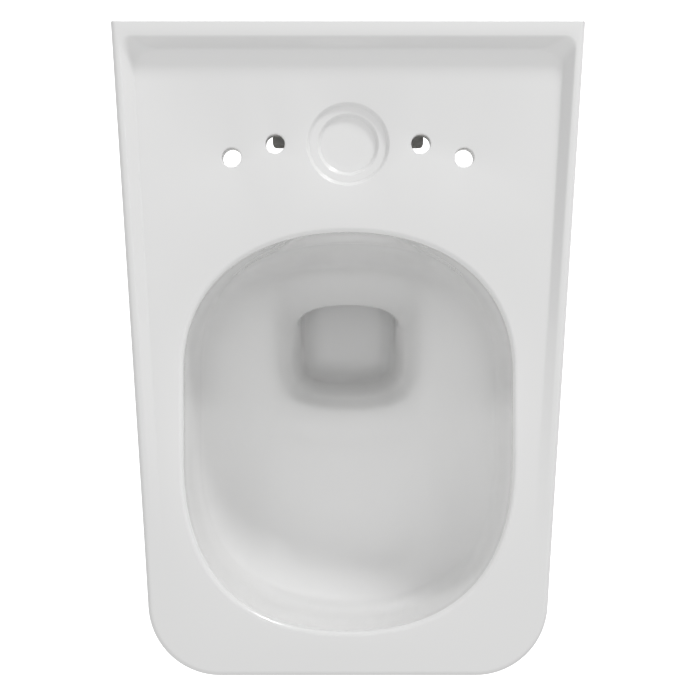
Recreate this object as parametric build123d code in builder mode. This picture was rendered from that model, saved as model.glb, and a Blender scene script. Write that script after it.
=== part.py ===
from build123d import *
import math
import os

# Wall hung toilet pan in glazed vitreous china, with the hidden fixings that hold it to a wall.
# The wall is the plane Y = 0 and the pan reaches forward along -Y. The origin lies on the wall,
# midway between the two M12 fixing points. A depth is a distance forward of the wall, and a
# level is a height above the fixing points.

# Heights of a standard wall installation, from the fixing points
deck_level = 80.0
inlet_level = 35.0
outlet_level = -100.0
base_level = -250.0

# Plan of the deck, which tapers from the wall to the front
rear_half_width = 185.0
front_half_width = 154.0
pan_length = 512.0
front_corner_radius = 57.0

# Deck slab, its raised lip and its rounded edges
deck_thickness = 14.0
lip_height = 11.0
lip_run = 400.0
lip_fade_radius = 2500.0
rear_lip_width = 11.0
side_lip_width = 5.5
lip_step_width = 9.0
lip_corner_radius = 8.0
deck_edge_round = 4.0
rim_edge_round = 4.0

# Holes through the deck and the blind recess between them
hinge_hole_diameter = 15.0
inner_hole_spacing = 114.4
inner_hole_depth = 94.1
outer_hole_spacing = 182.8
outer_hole_depth = 104.8
recess_depth_place = 94.2
recess_outer_diameter = 62.8
recess_inner_diameter = 46.0
recess_step = 3.0

# Outer skirt, which curves in below the deck to a small base
skirt_wall = 11.0
skirt_curve = 1.7
skirt_steps = 6
base_rear_half_width = 150.0
base_front_half_width = 92.0
base_length = 334.0
base_corner_radius = 60.0
base_edge_round = 9.0
service_opening_length = 150.0
service_corner_radius = 22.0

# Bowl mouth and bowl shell
bowl_wall = 10.0
mouth_rear = 163.3
front_rim_width = 34.7
mouth_half_width = 129.5
mouth_wide_rear = 272.0
mouth_wide_front = 342.0
rear_cap_fullness = 0.61
front_cap_fullness = 0.66
rim_face_height = 55.0
rim_face_draft = 2.5
bowl_curve = 1.65
bowl_steps = 4
bowl_floor_wall = 6.0

# Sump under the bowl
sump_wall = 10.0
sump_mouth_level = -110.0
sump_mouth_rear = 182.6
sump_mouth_front = 312.4
sump_mouth_half_width = 65.5
sump_mouth_fullness = 0.84
sump_flat = 12.0
dip_level = -154.0
dip_rear = 214.4
dip_front = 298.0
dip_half_width = 51.0
dip_fullness = 0.81
pit_floor_drop = 37.0
pit_front = 285.5
pit_half_width = 43.5
pit_fullness = 0.78

# Trap passage and outlet spigot
trap_bore = 75.0
trap_wall = 9.0
trap_bend_radius = 47.5
trap_low_level = -191.0
trap_weir_level = -67.5
trap_start_depth = 236.0
trap_rise_start = 165.0
trap_rise_end = 117.5
trap_fall_start = 62.5
trap_fall_end = 33.2
spigot_diameter = 102.0
spigot_bore = 88.0
spigot_length = 16.0
spigot_bore_length = 14.0

# Flush inlet socket, chamber and duct to the bowl
socket_bore = 55.0
socket_wall = 8.0
socket_length = 48.0
throat_bore = 44.0
chamber_wall = 8.0
chamber_half_width = 61.0
chamber_front = 92.0
chamber_top_drop = 30.0
chamber_front_height = 14.0
chamber_rear_height = 62.0
duct_half_width = 39.0
duct_height = 42.0
duct_centre_drop = 46.0
duct_corner_radius = 6.0

# Rear web at the wall and the pockets for the wall anchors
web_thickness = 12.0
web_bottom_level = -36.0
fixing_spacing = 180.0
anchor_size = 25.0
anchor_length = 68.0
anchor_bore = 12.0
anchor_bore_length = 45.0
liner_wall = 3.0
liner_length = 66.0
liner_clearance = 0.3
pocket_wall = 9.0
pocket_length = 72.0

# Clamp screws from below
screw_diameter = 8.0
screw_place_depth = 57.0
screw_hole_clearance = 1.0
screw_head_width = 13.0
screw_head_height = 5.3
screw_key_width = 6.0
screw_key_depth = 3.0
washer_diameter = 22.0
washer_thickness = 2.5
screw_end_gap = 3.0

# Rubber seal and throttle ring in the flush inlet
seal_clearance = 0.25
seal_bore = 45.0
seal_length = 34.0
seal_rib_width = 2.5
seal_rib_height = 1.8
seal_rib_count = 4
throttle_length = 10.0
throttle_bore = 36.0

cut_margin = 1.0
pick_tolerance = 0.01

os.makedirs("parts", exist_ok=True)

deck_underside = deck_level - deck_thickness
mouth_front = pan_length - front_rim_width
hole_places = []
hole_pairs = ((inner_hole_spacing, inner_hole_depth), (outer_hole_spacing, outer_hole_depth))
for hole_spacing, hole_depth in hole_pairs:
    hole_places.append((-hole_spacing / 2, -hole_depth))
    hole_places.append((hole_spacing / 2, -hole_depth))


def plan_face(level, rear_half, front_half, length, corner, rear_depth=0.0):
    """Tapered plan outline of the pan at one level, with rounded front corners."""
    with BuildSketch(Plane.XY.offset(level)) as plan:
        with BuildLine():
            Polyline(
                (-rear_half, -rear_depth),
                (rear_half, -rear_depth),
                (front_half, -length),
                (-front_half, -length),
                close=True,
            )
        make_face()
        fillet(plan.vertices().group_by(Axis.Y)[0], corner)
    return plan.sketch.faces()[0]


def skirt_face(level, inset):
    """Plan outline of the skirt at one level, drawn in by an inset except at the open wall side."""
    share = (deck_underside - level) / (deck_underside - base_level)
    blend = max(share, 0.0) ** skirt_curve
    rear_half = rear_half_width + blend * (base_rear_half_width - rear_half_width)
    front_half = front_half_width + blend * (base_front_half_width - front_half_width)
    length = pan_length + blend * (base_length - pan_length)
    corner = front_corner_radius + blend * (base_corner_radius - front_corner_radius)
    half_widths = (rear_half - inset, front_half - inset)
    rear_depth = -cut_margin if inset > 0 else 0.0
    return plan_face(level, *half_widths, length - inset, corner - inset, rear_depth)


def skirt_faces(inset, bottom_level):
    """Outlines of the skirt from the deck down to a bottom level."""
    step_height = (deck_underside - bottom_level) / skirt_steps
    return [skirt_face(deck_underside - step * step_height, inset) for step in range(skirt_steps + 1)]


def ring_face(level, rear, front, half_width, wide_rear, wide_front, rear_fullness, front_fullness):
    """Closed bowl outline at one level: two rounded caps joined by straight sides."""
    rear_pull = wide_rear - rear_fullness * (wide_rear - rear)
    front_pull = wide_front + front_fullness * (front - wide_front)
    with BuildSketch(Plane.XY.offset(level)) as ring:
        with BuildLine():
            for hand in (1, -1):
                side = hand * half_width
                rear_reach = rear_fullness * side
                front_reach = front_fullness * side
                Bezier((0, -rear), (rear_reach, -rear), (side, -rear_pull), (side, -wide_rear))
                Line((side, -wide_rear), (side, -wide_front))
                Bezier((side, -wide_front), (side, -front_pull), (front_reach, -front), (0, -front))
        make_face()
    return ring.sketch.faces()[0]


def mouth_face(level, wall):
    """Bowl mouth outline, grown outward by a wall."""
    return ring_face(
        level,
        mouth_rear - wall,
        mouth_front + wall,
        mouth_half_width + wall,
        mouth_wide_rear,
        mouth_wide_front,
        rear_cap_fullness,
        front_cap_fullness,
    )


def bowl_faces(wall, floor_wall):
    """Outlines of the bowl from the deck down to the sump mouth, grown outward and downward by walls."""
    rim_foot = deck_level - rim_face_height
    faces = [mouth_face(deck_underside, wall)]
    for step in range(bowl_steps + 1):
        share = step / bowl_steps
        blend = share**bowl_curve
        rear = mouth_rear + blend * (sump_mouth_rear - mouth_rear)
        front = mouth_front - rim_face_draft + blend * (sump_mouth_front - mouth_front + rim_face_draft)
        half = mouth_half_width - rim_face_draft
        half += blend * (sump_mouth_half_width - half)
        middle = (sump_mouth_rear + sump_mouth_front) / 2
        faces.append(
            ring_face(
                rim_foot + share * (sump_mouth_level - rim_foot) - floor_wall * min(1.0, 2.0 * share),
                rear - wall,
                front + wall,
                half + wall,
                mouth_wide_rear + blend * (middle - sump_flat / 2 - mouth_wide_rear),
                mouth_wide_front + blend * (middle + sump_flat / 2 - mouth_wide_front),
                rear_cap_fullness + share * (sump_mouth_fullness - rear_cap_fullness),
                front_cap_fullness + share * (sump_mouth_fullness - front_cap_fullness),
            )
        )
    return faces


def sump_faces(wall, floor_wall):
    """Outlines of the sump from its mouth to its floor, grown outward by a wall."""
    floor_level = trap_low_level - pit_floor_drop - floor_wall
    rows = [
        (sump_mouth_level, sump_mouth_rear, sump_mouth_front, sump_mouth_half_width, sump_mouth_fullness),
        (dip_level, dip_rear, dip_front, dip_half_width, dip_fullness),
        (floor_level, dip_rear, pit_front, pit_half_width, pit_fullness),
    ]
    faces = []
    for level, rear, front, half, fullness in rows:
        flat_rear = (rear + front - sump_flat) / 2
        flat = (flat_rear, flat_rear + sump_flat)
        faces.append(ring_face(level, rear - wall, front + wall, half + wall, *flat, fullness, fullness))
    return faces


# Solid envelopes that the ceramic parts are cut from
with BuildPart() as bowl_room:
    loft(sections=bowl_faces(0.0, 0.0))
with BuildPart() as bowl_mass:
    loft(sections=bowl_faces(bowl_wall, bowl_floor_wall))
with BuildPart() as sump_room:
    loft(sections=sump_faces(0.0, 0.0))
with BuildPart() as sump_mass:
    loft(sections=sump_faces(sump_wall, sump_wall))
with BuildPart() as skirt_mass:
    loft(sections=skirt_faces(0.0, base_level))
    base_edges = skirt_mass.edges().group_by(Axis.Z)[0]
    fillet(base_edges.filter_by(lambda edge: edge.center().Y < -cut_margin), base_edge_round)
with BuildPart() as skirt_room:
    loft(sections=skirt_faces(skirt_wall, base_level + skirt_wall))

# Deck: a slab with a wedge of lip along the rear and both sides
side_view = Plane.YZ.offset(-rear_half_width - cut_margin)
with BuildPart() as pan_deck:
    with BuildSketch(side_view) as deck_side:
        with BuildLine():
            Polyline(
                (0, deck_underside),
                (0, deck_level + lip_height),
                (-lip_run, deck_level),
                (-pan_length, deck_level),
                (-pan_length, deck_underside),
                close=True,
            )
        make_face()
        fillet(deck_side.vertices().sort_by_distance((-lip_run, deck_level))[0], lip_fade_radius)
    extrude(amount=2 * (rear_half_width + cut_margin))
    outline = plan_face(deck_underside, rear_half_width, front_half_width, pan_length, front_corner_radius)
    extrude(outline, amount=deck_thickness + lip_height + cut_margin, mode=Mode.INTERSECT)
    floor_inset = side_lip_width + lip_step_width
    floor_depth = rear_lip_width + lip_step_width
    with BuildSketch(Plane.XY.offset(deck_level)) as lip_foot:
        with BuildLine():
            Polyline(
                (-rear_half_width + floor_inset, -floor_depth),
                (rear_half_width - floor_inset, -floor_depth),
                (front_half_width - floor_inset, -pan_length),
                (-front_half_width + floor_inset, -pan_length),
                close=True,
            )
        make_face()
        fillet(lip_foot.vertices().group_by(Axis.Y)[-1], lip_corner_radius + lip_step_width)
    with BuildSketch(Plane.XY.offset(deck_level + lip_height)) as lip_brow:
        with BuildLine():
            Polyline(
                (-rear_half_width + side_lip_width, -rear_lip_width),
                (rear_half_width - side_lip_width, -rear_lip_width),
                (front_half_width - side_lip_width, -pan_length),
                (-front_half_width + side_lip_width, -pan_length),
                close=True,
            )
        make_face()
        fillet(lip_brow.vertices().group_by(Axis.Y)[-1], lip_corner_radius)
    loft(sections=[lip_foot.sketch.faces()[0], lip_brow.sketch.faces()[0]], ruled=True, mode=Mode.SUBTRACT)
    mouth = mouth_face(deck_underside - cut_margin, 0.0)
    extrude(mouth, amount=deck_thickness + 2 * cut_margin, mode=Mode.SUBTRACT)
    mouth_edges = pan_deck.edges().filter_by(
        lambda edge: abs(edge.center().Z - deck_level) < pick_tolerance
        and abs(edge.center().X) < mouth_half_width + cut_margin
        and -mouth_front - cut_margin < edge.center().Y < -mouth_rear + cut_margin
    )
    fillet(mouth_edges, rim_edge_round)
    plan_taper = (rear_half_width - front_half_width) / pan_length
    top_edges = pan_deck.edges().filter_by(lambda edge: edge.center().Z > deck_level - pick_tolerance)
    outer_edges = top_edges.filter_by(
        lambda edge: edge.center().Y < -cut_margin
        and (
            abs(edge.center().X) > rear_half_width + plan_taper * edge.center().Y - cut_margin
            or edge.center().Y < -mouth_front - rim_edge_round
        )
    )
    fillet(outer_edges, deck_edge_round)
    with BuildSketch(Plane.XY.offset(deck_underside)):
        with Locations(*hole_places):
            Circle(hinge_hole_diameter / 2)
    extrude(amount=deck_thickness + cut_margin, mode=Mode.SUBTRACT)
    with BuildSketch(Plane.XY.offset(deck_level - recess_step)):
        with Locations((0, -recess_depth_place)):
            Circle(recess_outer_diameter / 2)
    extrude(amount=recess_step + cut_margin, mode=Mode.SUBTRACT)
    with BuildSketch(Plane.XY.offset(deck_level - 2 * recess_step)):
        with Locations((0, -recess_depth_place)):
            Circle(recess_inner_diameter / 2)
    extrude(amount=2 * recess_step, mode=Mode.SUBTRACT)
pan_deck.part.label = "pan_deck"
export_step(pan_deck.part, "parts/pan_deck.step")

# Room of the duct that runs from the socket through the chamber and the bowl wall
duct_level = deck_level - duct_centre_drop
duct_plane = Plane.XZ.offset(socket_length)
duct_length = mouth_rear - socket_length
duct_room_width = 2 * (duct_half_width - chamber_wall)
duct_room_height = duct_height - 2 * chamber_wall
with BuildPart() as duct_room:
    with BuildSketch(duct_plane):
        with Locations((0, duct_level)):
            RectangleRounded(duct_room_width, duct_room_height, duct_corner_radius)
    extrude(amount=duct_length + 2 * bowl_wall)

# Bowl: the shell between its two envelopes, open to the duct
with BuildPart() as pan_bowl:
    add(bowl_mass.part)
    add(bowl_room.part, mode=Mode.SUBTRACT)
    add(sump_room.part, mode=Mode.SUBTRACT)
    add(duct_room.part, mode=Mode.SUBTRACT)
pan_bowl.part.label = "pan_bowl"
export_step(pan_bowl.part, "parts/pan_bowl.step")

# Skirt: open at the wall, open under the rear, closed under the sump
with BuildPart() as pan_skirt:
    add(skirt_mass.part)
    add(skirt_room.part, mode=Mode.SUBTRACT)
    add(bowl_mass.part, mode=Mode.SUBTRACT)
    base_taper = (base_rear_half_width - base_front_half_width) / base_length
    opening = plan_face(
        base_level - cut_margin,
        base_rear_half_width - skirt_wall,
        base_rear_half_width - skirt_wall - base_taper * service_opening_length,
        service_opening_length,
        service_corner_radius,
        -cut_margin,
    )
    extrude(opening, amount=skirt_wall + 2 * cut_margin, mode=Mode.SUBTRACT)
pan_skirt.part.label = "pan_skirt"
export_step(pan_skirt.part, "parts/pan_skirt.step")

# Sump and trap pipe: a cup under the bowl and the bent passage from it to the outlet spigot
trap_points = [
    (0, -trap_start_depth, trap_low_level),
    (0, -trap_rise_start, trap_low_level),
    (0, -trap_rise_end, trap_weir_level),
    (0, -trap_fall_start, trap_weir_level),
    (0, -trap_fall_end, outlet_level),
    (0, 0, outlet_level),
]
with BuildLine() as trap_path:
    FilletPolyline(*trap_points, radius=trap_bend_radius)
trap_start = Plane(origin=trap_points[0], z_dir=(0, 1, 0))
with BuildPart() as trap_mass:
    with BuildSketch(trap_start):
        Circle(trap_bore / 2 + trap_wall)
    sweep(path=trap_path.line)
with BuildPart() as trap_room:
    with BuildSketch(trap_start):
        Circle(trap_bore / 2)
    sweep(path=trap_path.line)
# The cup is thickened behind the dip, where the pipe rises against it
with BuildPart() as sump_block:
    add(sump_mass.part)
    with BuildSketch(Plane.XY.offset(dip_level)):
        with Locations((0, -(sump_mouth_rear + dip_rear) / 2)):
            Rectangle(trap_bore + trap_wall, dip_rear - sump_mouth_rear)
    extrude(amount=sump_mouth_level - dip_level)
with BuildPart() as pan_sump:
    add(sump_block.part)
    add(sump_room.part, mode=Mode.SUBTRACT)
    add(trap_room.part, mode=Mode.SUBTRACT)
    add(bowl_mass.part, mode=Mode.SUBTRACT)
    add(bowl_room.part, mode=Mode.SUBTRACT)
pan_sump.part.label = "pan_sump"
export_step(pan_sump.part, "parts/pan_sump.step")

with BuildPart() as pan_trap_pipe:
    add(trap_mass.part)
    with BuildSketch(Plane.XZ):
        with Locations((0, outlet_level)):
            Circle(spigot_diameter / 2)
    extrude(amount=spigot_length)
    add(trap_room.part, mode=Mode.SUBTRACT)
    with BuildSketch(Plane.XZ):
        with Locations((0, outlet_level)):
            Circle(spigot_bore / 2)
    extrude(amount=spigot_bore_length, mode=Mode.SUBTRACT)
    add(sump_block.part, mode=Mode.SUBTRACT)
    add(bowl_mass.part, mode=Mode.SUBTRACT)
pan_trap_pipe.part.label = "pan_trap_pipe"
export_step(pan_trap_pipe.part, "parts/pan_trap_pipe.step")

# Rear web: closes the upper rear, with pockets for the wall anchors
pocket_size = anchor_size + 2 * (liner_wall + liner_clearance)
pocket_outer = pocket_size + 2 * pocket_wall
fixing_places = [(-fixing_spacing / 2, 0.0), (fixing_spacing / 2, 0.0)]
socket_outer = socket_bore + 2 * socket_wall
with BuildPart() as pan_rear_web:
    add(skirt_room.part)
    with BuildSketch(Plane.XZ):
        with Locations((0, (deck_underside + web_bottom_level) / 2)):
            Rectangle(2 * rear_half_width, deck_underside - web_bottom_level)
    extrude(amount=web_thickness, mode=Mode.INTERSECT)
    with BuildSketch(Plane.XZ):
        with Locations(*fixing_places):
            RectangleRounded(pocket_outer, pocket_outer, pocket_wall)
    extrude(amount=pocket_length)
    with BuildSketch(Plane.XZ):
        with Locations(*fixing_places):
            Rectangle(pocket_size, pocket_size)
    extrude(amount=pocket_length, mode=Mode.SUBTRACT)
    with BuildSketch(Plane.XY.offset(-pocket_outer / 2)):
        with Locations(*[(across, -screw_place_depth) for across, _ in fixing_places]):
            Circle((screw_diameter + screw_hole_clearance) / 2)
    extrude(amount=pocket_wall + cut_margin, mode=Mode.SUBTRACT)
    with BuildSketch(Plane.XZ):
        with Locations((0, inlet_level)):
            Circle(socket_outer / 2)
    extrude(amount=web_thickness, mode=Mode.SUBTRACT)
pan_rear_web.part.label = "pan_rear_web"
export_step(pan_rear_web.part, "parts/pan_rear_web.step")

# Inlet chamber: socket for the flush pipe, wide box under the deck and duct to the bowl
chamber_top = deck_level - chamber_top_drop
chamber_bottom = chamber_top - chamber_rear_height
chamber_profile = [
    (-web_thickness, chamber_top),
    (-chamber_front, chamber_top),
    (-chamber_front, chamber_top - chamber_front_height),
    (-web_thickness, chamber_bottom),
]
floor_slope = (chamber_rear_height - chamber_front_height) / (chamber_front - web_thickness)
floor_rise = chamber_wall * math.hypot(1.0, floor_slope)
room_rear_floor = chamber_bottom + floor_slope * (socket_length - web_thickness) + floor_rise
room_front_floor = room_rear_floor + floor_slope * (chamber_front - chamber_wall - socket_length)
room_profile = [
    (-socket_length, chamber_top - chamber_wall),
    (-chamber_front + chamber_wall, chamber_top - chamber_wall),
    (-chamber_front + chamber_wall, room_front_floor),
    (-socket_length, room_rear_floor),
]
with BuildPart() as pan_inlet_chamber:
    with BuildSketch(Plane.YZ.offset(-chamber_half_width)):
        with BuildLine():
            Polyline(*chamber_profile, close=True)
        make_face()
    extrude(amount=2 * chamber_half_width)
    with BuildSketch(Plane.XZ):
        with Locations((0, inlet_level)):
            Circle(socket_outer / 2)
    extrude(amount=socket_length + chamber_wall)
    with BuildSketch(duct_plane):
        with Locations((0, duct_level)):
            RectangleRounded(2 * duct_half_width, duct_height, chamber_wall)
    extrude(amount=duct_length)
    with BuildSketch(Plane.YZ.offset(-chamber_half_width + chamber_wall)):
        with BuildLine():
            Polyline(*room_profile, close=True)
        make_face()
    extrude(amount=2 * (chamber_half_width - chamber_wall), mode=Mode.SUBTRACT)
    with BuildSketch(Plane.XZ):
        with Locations((0, inlet_level)):
            Circle(socket_bore / 2)
    extrude(amount=socket_length - chamber_wall, mode=Mode.SUBTRACT)
    with BuildSketch(Plane.XZ):
        with Locations((0, inlet_level)):
            Circle(throat_bore / 2)
    extrude(amount=socket_length + chamber_wall, mode=Mode.SUBTRACT)
    add(duct_room.part, mode=Mode.SUBTRACT)
    add(bowl_mass.part, mode=Mode.SUBTRACT)
    with BuildSketch(Plane.XY.offset(deck_underside)):
        Rectangle(4 * rear_half_width, 4 * pan_length)
    extrude(amount=lip_height + deck_thickness, mode=Mode.SUBTRACT)
pan_inlet_chamber.part.label = "pan_inlet_chamber"
export_step(pan_inlet_chamber.part, "parts/pan_inlet_chamber.step")

# Rubber seal in the flush socket, with ribs outside that grip the socket
seal_radius = socket_bore / 2 - seal_clearance
with BuildPart() as inlet_seal:
    with BuildSketch(Plane.XZ):
        with Locations((0, inlet_level)):
            Circle(seal_radius - seal_rib_height)
            Circle(seal_bore / 2, mode=Mode.SUBTRACT)
    extrude(amount=seal_length)
    for rib in range(seal_rib_count):
        rib_place = rib * (seal_length - seal_rib_width) / (seal_rib_count - 1)
        with BuildSketch(Plane.XZ.offset(rib_place)):
            with Locations((0, inlet_level)):
                Circle(seal_radius)
                Circle(seal_bore / 2, mode=Mode.SUBTRACT)
        extrude(amount=seal_rib_width)
inlet_seal.part.label = "inlet_seal"
export_step(inlet_seal.part, "parts/inlet_seal.step")

# Throttle ring in the throat behind the seal
with BuildPart() as flow_throttle:
    with BuildSketch(Plane.XZ.offset(socket_length - chamber_wall - throttle_length / 2)):
        with Locations((0, inlet_level)):
            Circle(throat_bore / 2 - seal_clearance)
            Circle(throttle_bore / 2, mode=Mode.SUBTRACT)
    extrude(amount=throttle_length)
flow_throttle.part.label = "flow_throttle"
export_step(flow_throttle.part, "parts/flow_throttle.step")

# Fixings, one set on each side
shelf_underside = -pocket_outer / 2
for side, across in (("left", -fixing_spacing / 2), ("right", fixing_spacing / 2)):
    # Steel anchor that the wall stud screws into, cross drilled for the clamp screw
    with BuildPart() as wall_anchor:
        with BuildSketch(Plane.XZ):
            with Locations((across, 0)):
                Rectangle(anchor_size, anchor_size)
        extrude(amount=anchor_length)
        with BuildSketch(Plane.XZ):
            with Locations((across, 0)):
                Circle(anchor_bore / 2)
        extrude(amount=anchor_bore_length, mode=Mode.SUBTRACT)
        with BuildSketch(Plane.XY.offset(-anchor_size / 2)):
            with Locations((across, -screw_place_depth)):
                Circle(screw_diameter / 2)
        extrude(amount=anchor_size / 2 + screw_end_gap, mode=Mode.SUBTRACT)
    wall_anchor.part.label = f"wall_anchor_{side}"
    export_step(wall_anchor.part, f"parts/wall_anchor_{side}.step")

    # Nylon liner between the anchor and the ceramic pocket
    with BuildPart() as anchor_liner:
        with BuildSketch(Plane.XZ):
            with Locations((across, 0)):
                Rectangle(anchor_size + 2 * liner_wall, anchor_size + 2 * liner_wall)
                Rectangle(anchor_size, anchor_size, mode=Mode.SUBTRACT)
        extrude(amount=liner_length)
        with BuildSketch(Plane.XY.offset(-anchor_size / 2 - liner_wall)):
            with Locations((across, -screw_place_depth)):
                Circle((screw_diameter + screw_hole_clearance) / 2)
        extrude(amount=liner_wall, mode=Mode.SUBTRACT)
    anchor_liner.part.label = f"anchor_liner_{side}"
    export_step(anchor_liner.part, f"parts/anchor_liner_{side}.step")

    # Washer that spreads the screw's pull on the ceramic shelf
    with BuildPart() as clamp_washer:
        with BuildSketch(Plane.XY.offset(shelf_underside - washer_thickness)):
            with Locations((across, -screw_place_depth)):
                Circle(washer_diameter / 2)
                Circle((screw_diameter + screw_hole_clearance) / 2, mode=Mode.SUBTRACT)
        extrude(amount=washer_thickness)
    clamp_washer.part.label = f"clamp_washer_{side}"
    export_step(clamp_washer.part, f"parts/clamp_washer_{side}.step")

    # Hexagon head screw, turned from below, that draws the pan down on the anchor
    head_top = shelf_underside - washer_thickness
    with BuildPart() as clamp_screw:
        with BuildSketch(Plane.XY.offset(head_top - screw_head_height)):
            with Locations((across, -screw_place_depth)):
                RegularPolygon(screw_head_width / 2, 6, major_radius=False)
        extrude(amount=screw_head_height)
        with BuildSketch(Plane.XY.offset(head_top)):
            with Locations((across, -screw_place_depth)):
                Circle(screw_diameter / 2)
        extrude(amount=-head_top)
        with BuildSketch(Plane.XY.offset(head_top - screw_head_height)):
            with Locations((across, -screw_place_depth)):
                RegularPolygon(screw_key_width / 2, 6, major_radius=False)
        extrude(amount=screw_key_depth, mode=Mode.SUBTRACT)
    clamp_screw.part.label = f"clamp_screw_{side}"
    export_step(clamp_screw.part, f"parts/clamp_screw_{side}.step")
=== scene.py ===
import math

import bmesh
import bpy
import numpy as np
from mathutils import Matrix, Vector
from mathutils.bvhtree import BVHTree


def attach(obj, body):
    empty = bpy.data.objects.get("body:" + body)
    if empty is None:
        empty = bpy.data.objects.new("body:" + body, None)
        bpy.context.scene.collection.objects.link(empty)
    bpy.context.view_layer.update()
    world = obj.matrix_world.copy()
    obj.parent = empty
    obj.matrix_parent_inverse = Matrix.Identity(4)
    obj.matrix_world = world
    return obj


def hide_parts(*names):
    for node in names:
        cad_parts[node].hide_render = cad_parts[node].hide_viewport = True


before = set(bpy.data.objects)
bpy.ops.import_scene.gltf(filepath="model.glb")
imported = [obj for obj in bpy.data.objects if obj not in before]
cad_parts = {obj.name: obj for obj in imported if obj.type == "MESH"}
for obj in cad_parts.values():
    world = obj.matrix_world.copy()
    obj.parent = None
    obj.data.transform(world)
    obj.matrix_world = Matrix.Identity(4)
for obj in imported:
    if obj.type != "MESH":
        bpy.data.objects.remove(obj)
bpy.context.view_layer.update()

# Camera and floor. The pan was photographed from straight above its middle, so the camera looks
# down, and the floor lies a usual distance under the pan, which hangs on a wall.
# Lengths in this file are in millimetres and become metres where a mesh is made.
mm = 0.001
deck_level = 80.0
camera_height = 1100.0
camera_depth = 254.4
lens_length = 72.5
sensor_width = 36.0
floor_level = -320.0

camera = bpy.data.objects.new("Camera", bpy.data.cameras.new("Camera"))
bpy.context.scene.collection.objects.link(camera)
bpy.context.scene.camera = camera
camera.location = (0.0, -camera_depth * mm, (deck_level + camera_height) * mm)
camera.data.sensor_width = sensor_width
camera.data.lens = lens_length
bpy.context.scene.view_settings.view_transform = "Standard"


class Tone:
    """One value or colour of a finish. Sums on tones add the nodes that work them out."""

    def __init__(self, socket):
        self.socket = socket

    def node(self, kind, settings, inputs, output=0):
        """Adds a node of that kind to the same finish, sets it up and gives one of its outputs."""
        tree = self.socket.id_data
        made = tree.nodes.new(kind)
        for name, value in settings.items():
            setattr(made, name, value)
        for name, value in inputs.items():
            if isinstance(value, Tone):
                tree.links.new(value.socket, made.inputs[name])
            else:
                made.inputs[name].default_value = value
        return Tone(made.outputs[output]) if made.outputs else None

    def sum(self, operation, first, second):
        return self.node("ShaderNodeMath", {"operation": operation}, {0: first, 1: second})

    def __add__(self, other):
        return self.sum("ADD", self, other)

    def __mul__(self, other):
        return self.sum("MULTIPLY", self, other)

    __radd__ = __add__
    __rmul__ = __mul__

    def blend(self, first, second):
        """The first colour where this tone is 0 and the second where it is 1."""
        inputs = {0: self, 6: (*first, 1.0), 7: (*second, 1.0)}
        return self.node("ShaderNodeMix", {"data_type": "RGBA"}, inputs, 2)

    def noise(self, scale, detail, roughness):
        """Cloudy noise over the piece, where this tone is the place on it."""
        inputs = {"Vector": self, "Scale": scale, "Detail": detail, "Roughness": roughness}
        return self.node("ShaderNodeTexNoise", {}, inputs)

    def bumps(self, strength, distance):
        """The normal of a skin that stands up where this tone is light. The distance is in metres."""
        inputs = {"Height": self, "Strength": strength, "Distance": distance}
        return self.node("ShaderNodeBump", {}, inputs)


def finish_start(name):
    """A new empty finish, and the place on the piece as its first tone."""
    material = bpy.data.materials.new(name)
    material.use_nodes = True
    material.node_tree.nodes.clear()
    return material, Tone(material.node_tree.nodes.new("ShaderNodeTexCoord").outputs["Object"])


def finish_end(surface):
    """Joins a finished surface to the output of its finish."""
    surface.node("ShaderNodeOutputMaterial", {}, {"Surface": surface})


def seen_directly(tree):
    """1 for what the camera sees, straight or through glass, and 0 for all other light."""
    path = tree.nodes.new("ShaderNodeLightPath")
    return Tone(path.outputs["Is Camera Ray"]) + Tone(path.outputs["Is Transmission Ray"])


floor_half = 6000.0
floor_colour = (0.86, 0.86, 0.86, 1.0)
floor_glow = 0.94

floor_mesh = bpy.data.meshes.new("floor")
floor_corners = [(-1, -1), (1, -1), (1, 1), (-1, 1)]
floor_points = [(x * floor_half * mm, y * floor_half * mm, floor_level * mm) for x, y in floor_corners]
floor_mesh.from_pydata(floor_points, [], [(0, 1, 2, 3)])
floor = bpy.data.objects.new("floor", floor_mesh)
bpy.context.scene.collection.objects.link(floor)

pale_floor = finish_start("pale_floor")[0]
seen = seen_directly(pale_floor.node_tree)
floor_skin = seen.node("ShaderNodeBsdfDiffuse", {}, {"Color": floor_colour})
floor_light = seen.node("ShaderNodeEmission", {}, {"Strength": seen * floor_glow})
finish_end(seen.node("ShaderNodeAddShader", {}, {0: floor_skin, 1: floor_light}))
floor_mesh.materials.append(pale_floor)

# Light: even white from all round, a wide soft fill from above the front, a small soft box behind
# the wall side to the right, low enough to graze the deck, and a narrow lamp down into the bowl.
# The soft box and the lamps' own sizes are in metres, and angles are in degrees.
sky_strength = 0.49
fill_strength = 0.5
fill_spread = 110.0
fill_tilt = 20.0
box_energy = 23.0
box_width = 0.5
box_length = 0.35
box_distance = 2.5
box_azimuth = 25.0
box_height = 20.5
bowl_lamp_energy = 33.0
bowl_lamp_depth = 318.0
bowl_lamp_level = 2700.0
bowl_lamp_reach = 132.0
bowl_lamp_size = 0.05
bowl_lamp_blend = 0.35

world = bpy.data.worlds.new("studio")
bpy.context.scene.world = world
world.use_nodes = True
world.node_tree.nodes.clear()
seen = seen_directly(world.node_tree)
strength = sky_strength + seen * (1.0 - sky_strength)
sky = seen.node("ShaderNodeBackground", {}, {"Color": (1.0, 1.0, 1.0, 1.0), "Strength": strength})
seen.node("ShaderNodeOutputWorld", {}, {"Surface": sky})

fill = bpy.data.lights.new("fill", "SUN")
fill.energy = fill_strength
fill.angle = math.radians(fill_spread)
fill_lamp = bpy.data.objects.new("fill", fill)
bpy.context.scene.collection.objects.link(fill_lamp)
fill_lamp.rotation_euler = (math.radians(fill_tilt), 0.0, 0.0)

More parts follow.
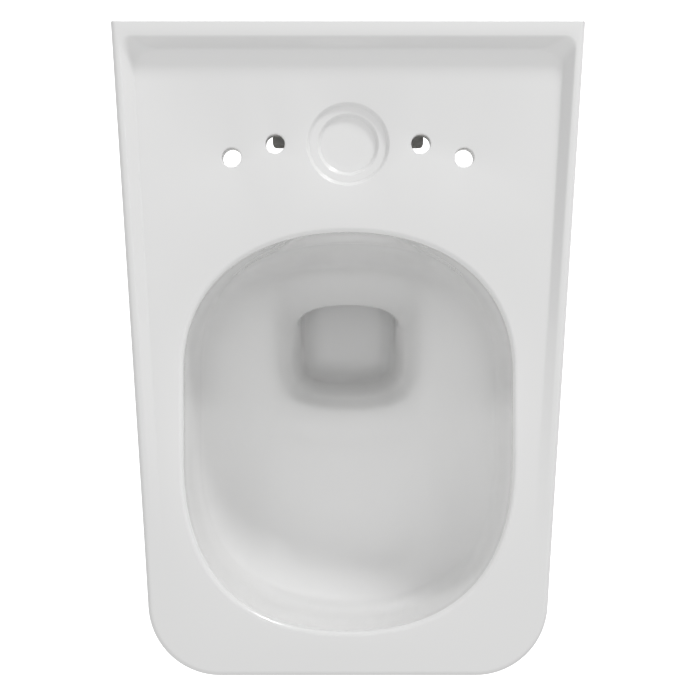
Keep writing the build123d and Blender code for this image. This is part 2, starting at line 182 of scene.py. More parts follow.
soft_box = bpy.data.lights.new("soft_box", "AREA")
soft_box.shape = "RECTANGLE"
soft_box.size = box_width
soft_box.size_y = box_length
soft_box.energy = box_energy
box_lamp = bpy.data.objects.new("soft_box", soft_box)
bpy.context.scene.collection.objects.link(box_lamp)
azimuth, height = math.radians(box_azimuth), math.radians(box_height)
level_way = Vector((math.sin(azimuth), math.cos(azimuth), 0.0))
box_way = level_way * math.cos(height) + Vector((0.0, 0.0, math.sin(height)))
box_lamp.location = Vector((0.0, -camera_depth * mm, 0.0)) + box_way * box_distance
box_lamp.rotation_euler = box_way.to_track_quat("Z", "Y").to_euler()

bowl_light = bpy.data.lights.new("bowl_light", "SPOT")
bowl_light.energy = bowl_lamp_energy
bowl_light.shadow_soft_size = bowl_lamp_size
bowl_light.spot_size = 2 * math.atan(bowl_lamp_reach / (bowl_lamp_level - deck_level))
bowl_light.spot_blend = bowl_lamp_blend
bowl_lamp = bpy.data.objects.new("bowl_lamp", bowl_light)
bpy.context.scene.collection.objects.link(bowl_lamp)
bowl_lamp.location = (0.0, -bowl_lamp_depth * mm, bowl_lamp_level * mm)
bowl_lamp.visible_glossy = False

# Glazed pan: one slip-cast piece of white vitreous china under a thick clear glaze. The glaze runs
# over the deck, the bowl, the sump, the trap and the outside, and stops at the ground rear face.
# Every edge is round, because the damp clay is sponged before it is fired.
lip_height = 10.99
lip_run = 400.0
lip_fade = 0.03
rear_lip_width = 11.0
side_lip_width = 5.5
lip_step_width = 10.0
lip_step_round = 0.2
lip_corner_radius = 8.0
deck_edge_round = 4.0
rear_edge_round = 1.2
deck_underside = 66.0

rear_half_width = 185.0
front_half_width = 154.0
pan_length = 512.0
front_corner_radius = 57.0

base_level = -250.0
base_rear_half_width = 150.0
base_front_half_width = 92.0
base_length = 334.0
base_corner_radius = 60.0
base_edge_round = 9.0
skirt_curve = 1.7
skirt_rows = 30
round_rows = 8
lip_step_rows = 14
glaze_turn_in = 2.5
base_turn_in = 1.5

rear_edge_parts = 28
rear_corner_parts = 6
side_parts = 44
front_corner_parts = 18
front_edge_parts = 20

points = []
faces = []


def lay_ring(ring):
    """Adds a ring of points to the pan and gives their numbers."""
    first = len(points)
    points.extend(tuple(float(c) for c in point) for point in ring)
    return list(range(first, len(points)))


def join_rings(first, second, left_out=()):
    """Closes the band between two rings that have as many points as each other."""
    count = len(first)
    for here in range(count):
        if here not in left_out:
            there = (here + 1) % count
            faces.append((first[here], first[there], second[there], second[here]))


def round_corner(before, corner, after, radius, parts):
    """Points along the round of a corner between two straight lines."""
    to_before = (before - corner) / np.linalg.norm(before - corner)
    to_after = (after - corner) / np.linalg.norm(after - corner)
    half_angle = math.acos(float(np.clip(to_before @ to_after, -1, 1))) / 2
    middle = to_before + to_after
    centre = corner + middle / np.linalg.norm(middle) * radius / math.sin(half_angle)
    start = corner + to_before * radius / math.tan(half_angle) - centre
    end = corner + to_after * radius / math.tan(half_angle) - centre
    turn = math.pi - 2 * half_angle
    arc = []
    for share in np.linspace(0, 1, parts + 1):
        swung = math.sin((1 - share) * turn) * start + math.sin(share * turn) * end
        arc.append(centre + swung / math.sin(turn))
    return arc


def straight_run(start, end, parts, end_step=None):
    """Points between two ends, without the ends. An end step gives the first and last gap."""
    if end_step is None:
        shares = np.linspace(0, 1, parts + 1)[1:-1]
    else:
        gap = end_step / np.linalg.norm(end - start)
        shares = np.linspace(gap, 1 - gap, parts - 1)
    return [start + (end - start) * share for share in shares]


def plan_ring(rear_half, front_half, length, rear_in, side_in, front_in, rear_corner, front_corner):
    """Points round the pan seen from above, as (across, depth), drawn in from its three kinds of edge."""
    taper = (rear_half - front_half) / length
    at_rear = rear_half - side_in - taper * rear_in
    at_front = rear_half - side_in - taper * (length - front_in)
    corners = [
        np.array((-at_rear, rear_in)),
        np.array((at_rear, rear_in)),
        np.array((at_front, length - front_in)),
        np.array((-at_front, length - front_in)),
    ]
    radii = (rear_corner, rear_corner, front_corner, front_corner)
    parts = (rear_corner_parts, rear_corner_parts, front_corner_parts, front_corner_parts)
    arcs = []
    for at in range(4):
        arcs.append(round_corner(corners[at - 1], corners[at], corners[(at + 1) % 4], radii[at], parts[at]))
    ring = straight_run(arcs[0][-1], arcs[1][0], rear_edge_parts, glaze_turn_in)
    ring += arcs[1] + straight_run(arcs[1][-1], arcs[2][0], side_parts)
    ring += arcs[2] + straight_run(arcs[2][-1], arcs[3][0], front_edge_parts)
    ring += arcs[3] + straight_run(arcs[3][-1], arcs[0][0], side_parts) + arcs[0]
    return np.array(ring)


rear_run = rear_edge_parts - 1
# Share of the rear edge's small round at each point of a ring, which gives way over the rear corners
rear_share = np.zeros(len(plan_ring(100.0, 90.0, 300.0, 0.0, 0.0, 0.0, 1.0, 20.0)))
rear_share[:rear_run] = 1.0
corner_fade = np.linspace(1, 0, rear_corner_parts + 1)
rear_share[rear_run : rear_run + rear_corner_parts + 1] = corner_fade
rear_share[-rear_corner_parts - 1 :] = corner_fade[::-1]
rear_middle = range(0, rear_run - 1)


def raised(ring, level):
    """The ring at one level or at a level for each point, in the pan's own axes."""
    return np.column_stack((ring[:, 0], -ring[:, 1], np.broadcast_to(level, len(ring))))


def lip_top(ring):
    """Height of the lip's top over the deck at each point: highest at the wall, gone near the front."""
    left = 1.0 - ring[:, 1] / lip_run
    return lip_height * (left + np.sqrt(left**2 + lip_fade**2)) / 2


deck_plan = (rear_half_width, front_half_width, pan_length)
outer_rings = []

# Under the base, round its edge and up the skirt
base_rings = []
for turned in np.linspace(0, 1, round_rows):
    angle = turned * math.pi / 2
    drawn_in = base_edge_round * (1 - math.sin(angle))
    up = base_edge_round * (1 - math.cos(angle))
    share = (deck_underside - base_level - up) / (deck_underside - base_level)
    base_rings.append((share, drawn_in))
base_rings.insert(0, (1.0, base_edge_round + base_turn_in))
skirt_shares = list(np.linspace(base_rings[-1][0], 0.0, skirt_rows + 1)[1:])
for share, drawn_in in base_rings + [(share, 0.0) for share in skirt_shares]:
    blend = share**skirt_curve
    rear_half = rear_half_width + blend * (base_rear_half_width - rear_half_width)
    front_half = front_half_width + blend * (base_front_half_width - front_half_width)
    length = pan_length + blend * (base_length - pan_length)
    corner = front_corner_radius + blend * (base_corner_radius - front_corner_radius)
    draws = (0.0, drawn_in, drawn_in)
    ring = plan_ring(rear_half, front_half, length, *draws, rear_edge_round, corner - drawn_in)
    outer_rings.append(raised(ring, deck_underside - share * (deck_underside - base_level)))
skirt_ring_count = len(outer_rings)

# Up the deck's edge and over its round
edge_rounds = deck_edge_round + (rear_edge_round - deck_edge_round) * rear_share
for turned in np.linspace(0, 1, round_rows):
    angle = turned * math.pi / 2
    draws = [size * (1 - math.cos(angle)) for size in (rear_edge_round, deck_edge_round, deck_edge_round)]
    ring = plan_ring(*deck_plan, *draws, rear_edge_round, front_corner_radius - draws[2])
    level = deck_level + lip_top(ring) - edge_rounds * (1 - math.sin(angle))
    if turned == 0:
        drop = np.where(rear_share > 0, glaze_turn_in, 0.0)
        outer_rings.append(raised(ring, np.minimum(level - drop, level)))
    outer_rings.append(raised(ring, level))

# The lip's flat top and its S-shaped step down to the deck
for share in (0.5, 1.0):
    draws = [
        rear_edge_round + share * (rear_lip_width - rear_edge_round),
        deck_edge_round + share * (side_lip_width - deck_edge_round),
        deck_edge_round + share * (side_lip_width - deck_edge_round),
    ]
    rear_corner = rear_edge_round + share * (lip_corner_radius - rear_edge_round)
    ring = plan_ring(*deck_plan, *draws, rear_corner, front_corner_radius - draws[2])
    outer_rings.append(raised(ring, deck_level + lip_top(ring)))
for share in np.linspace(0, 1, lip_step_rows + 1)[1:]:
    draws = [rear_lip_width + share * lip_step_width] + [side_lip_width + share * lip_step_width] * 2
    rear_corner = lip_corner_radius + share * lip_step_width
    ring = plan_ring(*deck_plan, *draws, rear_corner, front_corner_radius - draws[2])
    to_end = min(share, 1 - share)
    near_end = to_end**2 / (2 * lip_step_round) if to_end < lip_step_round else to_end - lip_step_round / 2
    near_end /= 1 - lip_step_round
    left = 1 - near_end if share < 0.5 else near_end
    outer_rings.append(raised(ring, deck_level + lip_top(ring) * left))

last = None
for count, ring in enumerate(outer_rings):
    laid = lay_ring(ring)
    if last is not None:
        # The rear face is ground bare, so only a narrow turn-in of glaze is laid on it
        join_rings(last, laid, rear_middle if count <= skirt_ring_count else ())
    last = laid
deck_outer_loop = last

# Bowl, sump and trap: the water's way, from the mouth in the deck to the spigot at the wall.
mouth_rear = 163.3
mouth_front = 477.3
mouth_half_width = 129.5
mouth_wide_rear = 272.0
mouth_wide_front = 342.0
rear_cap_fullness = 0.61
front_cap_fullness = 0.66
rim_edge_round = 4.0
rim_foot_level = 25.0
rim_face_draft = 2.5
bowl_curve = 1.65
sump_mouth_level = -110.0
sump_mouth_rear = 182.6
sump_mouth_front = 312.4
sump_mouth_half_width = 65.5
sump_mouth_fullness = 0.84
sump_flat = 12.0
dip_level = -154.0
dip_rear = 214.4
dip_front = 298.0
dip_half_width = 51.0
dip_fullness = 0.81
dip_rear_cap = 25.0
dip_rear_fullness = 0.64
pit_half_width = 43.5
pit_floor_level = -228.5
pit_lean = 0.13
pit_corner_fullness = 8.0
throat_depth = 205.0
trap_radius = 37.5
trap_bend_radius = 47.5
trap_centre_level = -191.0
weir_pipe_level = -67.5
outlet_level = -100.0
spigot_radius = 51.0
spigot_bore_radius = 44.0
spigot_length = 16.0
spigot_bore_length = 14.0
spigot_edge_round = 1.3

cap_parts = 34
flank_parts = 10
trap_step = 6.0


def water_ring(rear, front, half_width, wide_rear, wide_front, rear_fullness, front_fullness):
    """Points round the water's way, as (across, depth), from the middle of the rear by the right."""
    rear_pull = wide_rear - rear_fullness * (wide_rear - rear)
    front_pull = wide_front + front_fullness * (front - wide_front)
    rear_across, front_across = rear_fullness * half_width, front_fullness * half_width
    caps = (
        ((0, rear), (rear_across, rear), (half_width, rear_pull), (half_width, wide_rear)),
        ((half_width, wide_front), (half_width, front_pull), (front_across, front), (0, front)),
    )
    runs = []
    share = np.linspace(0, 1, cap_parts + 1)[:, None]
    rest = 1 - share
    for cap in caps:
        a, b, c, d = (np.array(point, float) for point in cap)
        runs.append(rest**3 * a + 3 * share * rest**2 * b + 3 * share**2 * rest * c + share**3 * d)
    flank = np.linspace(runs[0][-1], runs[1][0], flank_parts + 1)[1:-1]
    right = np.vstack((runs[0], flank, runs[1]))
    left = right[-2:0:-1] * (-1, 1)
    return np.vstack((right, left))


def even_ring(rear, front, half_width, fullness, flat=sump_flat):
    """A ring whose rear and front caps are alike."""
    middle = (rear + front) / 2
    return water_ring(rear, front, half_width, middle - flat / 2, middle + flat / 2, fullness, fullness)


def mouth_ring(grown):
    """The bowl's mouth, grown outward."""
    return water_ring(
        mouth_rear - grown,
        mouth_front + grown,
        mouth_half_width + grown,
        mouth_wide_rear,
        mouth_wide_front,
        rear_cap_fullness,
        front_cap_fullness,
    )


water_rings = []
for turned in np.linspace(0, 1, 9):
    angle = turned * math.pi / 2
    grown = rim_edge_round * (1 - math.sin(angle))
    water_rings.append(raised(mouth_ring(grown), deck_level - rim_edge_round * (1 - math.cos(angle))))
rim_levels = (71.0, 66.0, 61.0, 56.0, 51.5, 47.0, 42.7, 38.3, 34.0, 29.7)
rim_top = deck_level - rim_edge_round
for level in rim_levels:
    share = (deck_underside - level) / (deck_underside - rim_foot_level)
    draft = rim_face_draft * max(share, 0.0)
    ring = water_ring(
        mouth_rear,
        mouth_front - draft,
        mouth_half_width - draft,
        mouth_wide_rear,
        mouth_wide_front,
        rear_cap_fullness,
        front_cap_fullness,
    )
    water_rings.append(raised(ring, level))
rim_ring_count = len(water_rings)

outlet_top = 47.0
outlet_sill = 21.0
outlet_sill_share = (rim_foot_level - outlet_sill) / (rim_foot_level - sump_mouth_level)
bowl_shares = [0.0, outlet_sill_share] + list(np.linspace(outlet_sill_share, 1, 38)[1:])
sump_middle = (sump_mouth_rear + sump_mouth_front) / 2
for share in bowl_shares:
    blend = share**bowl_curve
    half = mouth_half_width - rim_face_draft
    ring = water_ring(
        mouth_rear + blend * (sump_mouth_rear - mouth_rear),
        mouth_front - rim_face_draft + blend * (sump_mouth_front - mouth_front + rim_face_draft),
        half + blend * (sump_mouth_half_width - half),
        mouth_wide_rear + blend * (sump_middle - sump_flat / 2 - mouth_wide_rear),
        mouth_wide_front + blend * (sump_middle + sump_flat / 2 - mouth_wide_front),
        rear_cap_fullness + share * (sump_mouth_fullness - rear_cap_fullness),
        front_cap_fullness + share * (sump_mouth_fullness - front_cap_fullness),
    )
    water_rings.append(raised(ring, rim_foot_level + share * (sump_mouth_level - rim_foot_level)))
sump_mouth_row = len(water_rings) - 1
for share in np.linspace(0, 1, 13)[1:]:
    wide_front = sump_middle + sump_flat / 2 + share * ((dip_rear + dip_front) / 2 - sump_middle)
    wide_rear = sump_middle - sump_flat / 2
    ring = water_ring(
        sump_mouth_rear + share * (dip_rear - sump_mouth_rear),
        sump_mouth_front + share * (dip_front - sump_mouth_front),
        sump_mouth_half_width + share * (dip_half_width - sump_mouth_half_width),
        wide_rear + share * (dip_rear + dip_rear_cap - wide_rear),
        wide_front,
        sump_mouth_fullness + share * (dip_rear_fullness - sump_mouth_fullness),
        sump_mouth_fullness + share * (dip_fullness - sump_mouth_fullness),
    )
    water_rings.append(raised(ring, sump_mouth_level + share * (dip_level - sump_mouth_level)))
dip_row = len(water_rings) - 1

# The pit under the dip: each point of the dip's ring swings down and back to the trap's throat
dip_ring = water_rings[-1]
throat_height = dip_level - pit_floor_level
drop = (-dip_ring[:, 1] - dip_rear) / (dip_front - dip_rear) * throat_height
narrowing = (1 - pit_half_width / dip_half_width) * np.sqrt(np.maximum(drop, 0.0) / throat_height)
throat_across = dip_ring[:, 0] * (1 - narrowing)
for turned in np.linspace(0, 1, 25)[1:]:
    angle = turned * math.pi / 2
    down = math.sin(angle) ** (2 / pit_corner_fullness)
    forward = math.cos(angle) ** (2 / pit_corner_fullness) if turned < 1 else 0.0
    across = dip_ring[:, 0] + (throat_across - dip_ring[:, 0]) * down
    depth = throat_depth + (-dip_ring[:, 1] - throat_depth) * forward * (1 - pit_lean * down)
    water_rings.append(np.column_stack((across, -depth, dip_level - drop * down)))
throat_row = len(water_rings) - 1

# The trap pipe: up to the weir, over it and down to the spigot
trap_points = [
    (throat_depth, trap_centre_level),
    (165.0, trap_centre_level),
    (117.5, weir_pipe_level),
    (62.5, weir_pipe_level),
    (33.2, outlet_level),
    (24.0, outlet_level),
]
headings = [math.atan2(b[1] - a[1], a[0] - b[0]) for a, b in zip(trap_points, trap_points[1:])]
trap_line = []
spot = np.array(trap_points[0])
for at, heading in enumerate(headings):
    along = np.array((-math.cos(heading), math.sin(heading)))
    turn = headings[at + 1] - heading if at + 1 < len(headings) else 0.0
    stop = np.array(trap_points[at + 1]) - along * trap_bend_radius * abs(math.tan(turn / 2))
    steps = max(1, round(float(np.linalg.norm(stop - spot)) / trap_step))
    for step in range(1, steps + 1):
        trap_line.append((spot + (stop - spot) * step / steps, heading))
    spot = stop
    bends = max(1, round(abs(turn) * trap_bend_radius / trap_step))
    for step in range(bends if turn else 0):
        middle = heading + turn * (step + 0.5) / bends
        chord = 2 * trap_bend_radius * math.sin(abs(turn) / bends / 2)
        spot = spot + chord * np.array((-math.cos(middle), math.sin(middle)))
        trap_line.append((spot, heading + turn * (step + 1) / bends))
pit_section = np.column_stack((throat_across, drop - throat_height / 2))
round_section = even_ring(-1.0, 1.0, 1.0, 0.5523, 0.0)
# The part of the line whose pipe would reach into the spigot's bore is left out
trap_line = [(s, h) for s, h in trap_line if s[0] - trap_radius * math.sin(abs(h)) > spigot_bore_length + 1]
for count, (spot, heading) in enumerate(trap_line):
    share = min(1.0, (count + 1) / 9)
    share = share * share * (3 - 2 * share)
    section = pit_section + (round_section * trap_radius - pit_section) * share
    depth = spot[0] - math.sin(heading) * section[:, 1]
    level = spot[1] - math.cos(heading) * section[:, 1]
    water_rings.append(np.column_stack((section[:, 0], -depth, level)))
spigot_steps = [
    (spigot_bore_length, spigot_bore_radius - 1.5),
    (spigot_bore_length - 0.5, spigot_bore_radius - 0.5),
    (spigot_bore_length - 1.5, spigot_bore_radius),
    (spigot_edge_round, spigot_bore_radius),
    (spigot_edge_round * 0.3, spigot_bore_radius + spigot_edge_round * 0.3),
    (0.0, spigot_bore_radius + spigot_edge_round),
    (0.0, spigot_radius - spigot_edge_round),
    (spigot_edge_round * 0.3, spigot_radius - spigot_edge_round * 0.3),
    (spigot_edge_round, spigot_radius),
    (spigot_length / 2, spigot_radius),
    (spigot_length, spigot_radius),
]
for depth, radius in spigot_steps:
    section = round_section * radius
    backward = np.full(len(section), -depth)
    water_rings.append(np.column_stack((section[:, 0], backward, outlet_level - section[:, 1])))

# Slip settles in every inner corner, so the rim's foot, the sump's mouth, its dip and the pit's
# floor are soft: so many rows on each side of the corner, evened out so many times
water_rings = np.array(water_rings)
outlet_rows = []
for row in range(rim_ring_count + 2):
    if outlet_sill <= round(water_rings[row, 0, 2], 1) <= outlet_top:
        outlet_rows.append(row)
soft_corners = ((rim_ring_count, 6, 24), (sump_mouth_row, 5, 14), (dip_row, 3, 3), (throat_row, 4, 6))
for row, reach, passes in soft_corners:
    for _ in range(passes):
        span = slice(row - reach, row + reach + 1)
        before = water_rings[row - reach - 1 : row + reach]
        after = water_rings[row - reach + 1 : row + reach + 2]
        water_rings[span] = (before + after) / 4 + water_rings[span] / 2

# The rear wall draws back a little under the rim round the flush outlet, which the rim so hides
niche_depth = 6.0
niche_across = (62.0, 34.0)
niche_top = (69.0, 55.0)
niche_foot = (-12.0, 18.0)
niche_front = (230.0, 215.0)
outlet_half_width = 31.0
outlet_corner_radius = 6.0
outlet_length = 14.0


def eased(value, start, end):
    """0 before the start, 1 past the end and smooth between them."""
    share = np.clip((value - start) / (end - start), 0, 1)
    return share * share * (3 - 2 * share)


upper = water_rings[:sump_mouth_row]
across, depth, level = np.abs(upper[..., 0]), -upper[..., 1], upper[..., 2]
set_back = eased(across, *niche_across) * eased(level, *niche_top)
set_back = set_back * eased(level, *niche_foot) * eased(depth, *niche_front)
upper[..., 1] += niche_depth * set_back

ring_length = water_rings.shape[1]
rear_cap_across = water_rings[outlet_rows[0], : cap_parts + 1, 0]
outlet_half_count = int(np.argmin(np.abs(rear_cap_across - outlet_half_width)))
for row in (outlet_rows[0], outlet_rows[-1]):
    for column in range(-outlet_half_count, outlet_half_count + 1):
        water_rings[row, column, 0] = outlet_half_width * column / outlet_half_count
laid_rows = [lay_ring(ring) for ring in water_rings]
outlet_columns = [column % ring_length for column in range(-outlet_half_count, outlet_half_count)]
for row, (first, second) in enumerate(zip(laid_rows, laid_rows[1:])):
    in_outlet = outlet_rows[0] <= row < outlet_rows[-1]
    join_rings(first, second, outlet_columns if in_outlet else ())
mouth_loop = laid_rows[0]

# The outlet's own edge is a rounded oblong, and its walls run back into the flush duct
top_run = [laid_rows[outlet_rows[0]][c] for c in range(-outlet_half_count, outlet_half_count + 1)]
right_run = [laid_rows[r][outlet_half_count] for r in outlet_rows[1:-1]]
sill_run = [laid_rows[outlet_rows[-1]][c] for c in range(outlet_half_count, -outlet_half_count - 1, -1)]
left_run = [laid_rows[r][-outlet_half_count] for r in outlet_rows[-2:0:-1]]
outlet_loop = top_run + right_run + sill_run + left_run
outlet_middle = (outlet_top + outlet_sill) / 2
inner_width = outlet_half_width - outlet_corner_radius
inner_height = (outlet_top - outlet_sill) / 2 - outlet_corner_radius
for number in outlet_loop:
    x, y, z = points[number]
    place_on_wall = np.array((x, z - outlet_middle))
    core = np.clip(place_on_wall, (-inner_width, -inner_height), (inner_width, inner_height))
    off = place_on_wall - core
    spot = core + off / np.linalg.norm(off) * outlet_corner_radius
    points[number] = (float(spot[0]), y, float(spot[1]) + outlet_middle)
for back in (outlet_length / 3, outlet_length):
    deeper = lay_ring([(points[n][0], points[n][1] + back, points[n][2]) for n in outlet_loop])
    join_rings(outlet_loop if back < outlet_length else nearer, deeper)
    nearer = deeper

# Holes for a seat's hinges, and the round blind recess between them. The holes are punched in the
# damp clay and the recess is moulded, both with soft edges.
hole_radius = 7.5
hole_edge_round = 1.1
hole_places = [(-91.4, 104.8), (-57.2, 94.1), (57.2, 94.1), (91.4, 104.8)]
recess_depth = 94.2
recess_steps = ((31.4, 3.0), (23.0, 6.0))
recess_soft_width = 3.4
recess_floor_radii = (16.0, 10.0, 4.0)
circle_parts = 72


def circle(across, depth, radius, level):
    """Points round a circle on the deck."""
    turns = np.linspace(0, 2 * math.pi, circle_parts, endpoint=False)
    return [(across + radius * math.cos(t), -depth + radius * math.sin(t), level) for t in turns]


deck_loops = []
for across, depth in hole_places:
    rows = []
    for turned in np.linspace(0, 1, 6):
        wider = hole_edge_round * (1 - math.sin(turned * math.pi / 2))
        lower = hole_edge_round * (1 - math.cos(turned * math.pi / 2))
        rows.append((hole_radius + wider, deck_level - lower))
    for turned in np.linspace(0, 1, 4):
        wider = hole_edge_round * (1 - math.cos(turned * math.pi / 2))
        higher = hole_edge_round * (1 - math.sin(turned * math.pi / 2))
        rows.append((hole_radius + wider, deck_underside + higher))
    last = None
    for radius, level in rows:
        laid = lay_ring(circle(across, depth, radius, level))
        if last is None:
            deck_loops.append(laid)
        else:
            join_rings(last, laid)
        last = laid

last = None
upper_level = 0.0
for radius, sunk in recess_steps:
    for share in np.linspace(0, 1, 11):
        fall = share * share * (3 - 2 * share)
        level = deck_level - upper_level - (sunk - upper_level) * fall
        laid = lay_ring(circle(0.0, recess_depth, radius + recess_soft_width * (0.5 - share), level))
        if last is None:
            deck_loops.append(laid)
        else:
            join_rings(last, laid)
        last = laid
    upper_level = sunk
for radius in recess_floor_radii:
    laid = lay_ring(circle(0.0, recess_depth, radius, deck_level - upper_level))
    join_rings(last, laid)
    last = laid
faces.append(tuple(last))

same_place = 0.001
empty_area = 1e-6
glaze_thickness = 1.5

pan_mesh = bpy.data.meshes.new("glazed_pan")
pan_mesh.from_pydata([(x * mm, y * mm, z * mm) for x, y, z in points], [], faces)
work = bmesh.new()
work.from_mesh(pan_mesh)
work.verts.ensure_lookup_table()
deck_edges = []
for loop in [deck_outer_loop, mouth_loop] + deck_loops:
    for here, there in zip(loop, loop[1:] + loop[:1]):
        deck_edges.append(work.edges.get((work.verts[here], work.verts[there])))
bmesh.ops.triangle_fill(work, edges=deck_edges, use_beauty=True, normal=(0, 0, 1))
# The rear loops of the base have no width, which leaves double points and empty faces
bmesh.ops.remove_doubles(work, verts=work.verts, dist=same_place * mm)
empty = [face for face in work.faces if face.calc_area() < empty_area * mm * mm]
bmesh.ops.delete(work, geom=empty, context="FACES")
loose = [vert for vert in work.verts if not vert.link_faces]
bmesh.ops.delete(work, geom=loose, context="VERTS")
bmesh.ops.recalc_face_normals(work, faces=work.faces)
# The deck's flat faces have to look up
deck_up = 0.0
for face in work.faces:
    if abs(face.calc_center_median().z - deck_level * mm) < 0.01 * mm:
        deck_up += face.normal.z * face.calc_area()
if deck_up < 0:
    bmesh.ops.reverse_faces(work, faces=work.faces)
for face in work.faces:
    face.smooth = True
work.to_mesh(pan_mesh)
glaze_tree = BVHTree.FromBMesh(work)
glaze_border = [any(edge.is_boundary for edge in face.edges) for face in work.faces]
work.free()
glazed_pan = bpy.data.objects.new("glazed_pan", pan_mesh)
bpy.context.scene.collection.objects.link(glazed_pan)
shell = glazed_pan.modifiers.new("glaze", "SOLIDIFY")
shell.thickness = glaze_thickness * mm
shell.offset = -1.0


def skin_end(place, inputs):
    """Ends a finish that is one skin all over, with what its sockets get."""
    finish_end(place.node("ShaderNodeBsdfPrincipled", {}, inputs))


white_glaze, place = finish_start("white_glaze")
clouds = place.noise(9.0, 3.0, 0.5)
glaze_colour = clouds.blend((0.935, 0.935, 0.932), (0.95, 0.95, 0.946))
ripple = place.noise(28.0, 1.0, 0.4)
skin_end(
    place,
    {
        "Base Color": glaze_colour,
        "Roughness": 0.16 + clouds * 0.06,
        "Normal": ripple.bumps(0.05, 0.002),
        "Coat Weight": 0.8,
        "Coat Roughness": 0.04,
    },
)
pan_mesh.materials.append(white_glaze)
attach(glazed_pan, "root")

# China body: the same fired piece where no thick glaze lies, which is inside the skirt, under the
# deck and on the ground rear face. Its cast parts are stuck together with slip, which is wiped to a
# soft fillet at every joint.
china_nodes = [
    "pan_deck",
    "pan_bowl",
    "pan_skirt",
    "pan_sump",
    "pan_trap_pipe",
    "pan_rear_web",
    "pan_inlet_chamber",
]
body_grain = 2.6
body_soft_passes = 5
body_faces_kept = 0.3
under_glaze = 0.8
reach_over = 12.0
poking_out = 0.2
same_way = 0.2
beside_border = 1.0

work = bmesh.new()
for name in china_nodes:
    work.from_mesh(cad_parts[name].data)
body_mesh = bpy.data.meshes.new("china_body")
work.to_mesh(body_mesh)
work.free()
china_body = bpy.data.objects.new("china_body", body_mesh)
bpy.context.scene.collection.objects.link(china_body)
cast = china_body.modifiers.new("cast", "REMESH")
cast.mode = "VOXEL"
cast.voxel_size = body_grain * mm
soft = china_body.modifiers.new("soft", "SMOOTH")
soft.factor = 0.5
soft.iterations = body_soft_passes
bpy.context.view_layer.update()
cast_mesh = bpy.data.meshes.new_from_object(china_body.evaluated_get(bpy.context.evaluated_depsgraph_get()))
china_body.modifiers.clear()
china_body.data = cast_mesh
count = len(cast_mesh.vertices)
coords = np.empty(count * 3)
cast_mesh.vertices.foreach_get("co", coords)
coords = coords.reshape(-1, 3)
normals = np.empty(count * 3)
cast_mesh.vertices.foreach_get("normal", normals)
normals = normals.reshape(-1, 3)
mouth_middle = Vector((0.0, -(mouth_rear + mouth_front) / 2 * mm, deck_level * mm))
sunk = np.zeros(count, bool)
in_bowl = np.zeros(count, bool)
in_bore = np.zeros(count, bool)
# A point that pokes out of the glaze, or lies in it and looks the same way, sinks to just under it.
# Points that the bowl's mouth sees past the glaze, and those in the spigot's bore, are not wanted.
for number in range(count):
    spot = Vector(coords[number])
    way = mouth_middle - spot
    if -spot.y > (mouth_rear - niche_depth) * mm:
        in_bowl[number] = glaze_tree.ray_cast(spot, way.normalized(), way.length)[0] is None
    off_axis = math.hypot(spot.x, spot.z - outlet_level * mm)
    near_end = -spot.y < (spigot_bore_length + 10) * mm
    in_bore[number] = near_end and off_axis < (spigot_bore_radius - 1.5) * mm
    near, facing, at, _ = glaze_tree.find_nearest(spot, reach_over * mm)
    if near is None:
        continue
    off = spot - near
    above = off.dot(facing)
    beside = (off - facing * above).length
    agree = facing.dot(Vector(normals[number]))
    if glaze_border[at] and beside > beside_border * mm:
        continue
    if above > poking_out * mm or above > -under_glaze * mm and agree > same_way:
        coords[number] = near - facing * under_glaze * mm
        sunk[number] = True
cast_mesh.vertices.foreach_set("co", coords.ravel())
work = bmesh.new()
work.from_mesh(cast_mesh)
hidden = []
unwanted = in_bowl | in_bore
for face in work.faces:
    corners = [vert.index for vert in face.verts]
    if all(sunk[corners]) or any(unwanted[corners]):
        hidden.append(face)
bmesh.ops.delete(work, geom=hidden, context="FACES")
work.to_mesh(cast_mesh)
work.free()
thin = china_body.modifiers.new("thin", "DECIMATE")
thin.ratio = body_faces_kept
for polygon in cast_mesh.polygons:
    polygon.use_smooth = True

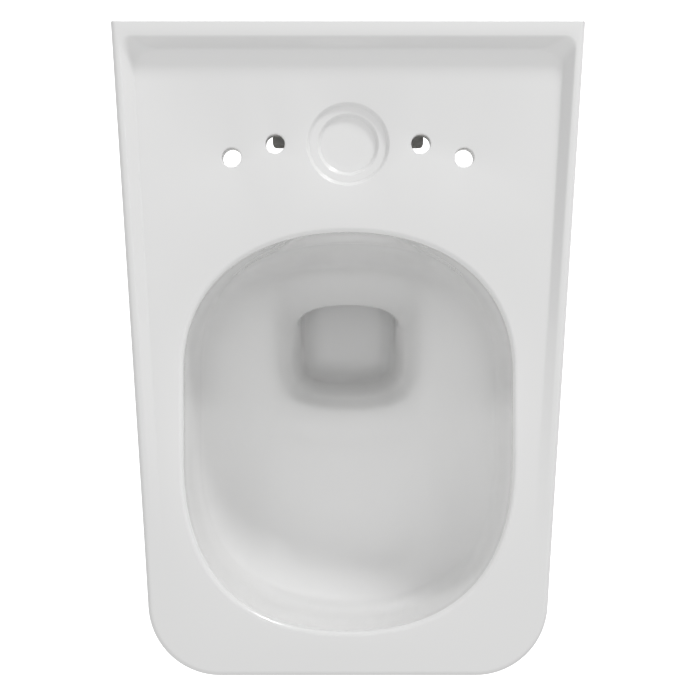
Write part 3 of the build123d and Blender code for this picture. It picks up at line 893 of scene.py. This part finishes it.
bare_china, place = finish_start("bare_china")
stain = place.noise(7.0, 4.0, 0.6)
grit = place.noise(900.0, 2.0, 0.7)
body_colour = stain.blend((0.80, 0.79, 0.765), (0.86, 0.855, 0.84))
grit_normal = grit.bumps(0.25, 0.0004)
skin_end(place, {"Base Color": body_colour, "Roughness": 0.55 + grit * 0.2, "Normal": grit_normal})
cast_mesh.materials.clear()
cast_mesh.materials.append(bare_china)
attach(china_body, "root")
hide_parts(*china_nodes)

# Rubber seal: a black ribbed sleeve, moulded in one piece and pressed into the flush socket.
black_rubber, place = finish_start("black_rubber")
dust = place.noise(60.0, 4.0, 0.6)
rubber_colour = dust.blend((0.018, 0.018, 0.019), (0.045, 0.044, 0.042))
rubber_normal = place.noise(1500.0, 1.0, 0.5).bumps(0.2, 0.0002)
skin_end(place, {"Base Color": rubber_colour, "Roughness": 0.5 + dust * 0.25, "Normal": rubber_normal})

# Throttle ring: a grey moulded ring behind the seal, which evens out the flush.
grey_plastic, place = finish_start("grey_plastic")
swirl = place.noise(45.0, 2.0, 0.5)
plastic_colour = swirl.blend((0.33, 0.34, 0.36), (0.38, 0.39, 0.41))
skin_end(place, {"Base Color": plastic_colour, "Roughness": 0.38 + swirl * 0.15})

# Nylon liners and washers: natural white mouldings that keep the steel off the china.
white_nylon, place = finish_start("white_nylon")
haze = place.noise(80.0, 3.0, 0.5)
nylon_colour = haze.blend((0.76, 0.755, 0.72), (0.83, 0.825, 0.80))
skin_end(place, {"Base Color": nylon_colour, "Roughness": 0.35 + haze * 0.15})

# Anchors and clamp screws: steel, machined and bright zinc plated, with the plating's faint clouds.
zinc_steel, place = finish_start("zinc_steel")
cloud = place.noise(120.0, 3.0, 0.6)
cuts = place.noise(2200.0, 1.0, 0.5)
skin_end(
    place,
    {
        "Base Color": cloud.blend((0.56, 0.57, 0.59), (0.70, 0.70, 0.71)),
        "Metallic": 1.0,
        "Roughness": 0.26 + cloud * 0.2,
        "Normal": cuts.bumps(0.15, 0.0001),
    },
)
small_finishes = {
    "inlet_seal": black_rubber,
    "flow_throttle": grey_plastic,
    "anchor_liner": white_nylon,
    "clamp_washer": white_nylon,
    "wall_anchor": zinc_steel,
    "clamp_screw": zinc_steel,
}
for name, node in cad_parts.items():
    for start, material in small_finishes.items():
        if name.startswith(start):
            if not node.material_slots:
                node.data.materials.append(material)
            for slot in node.material_slots:
                slot.material = material
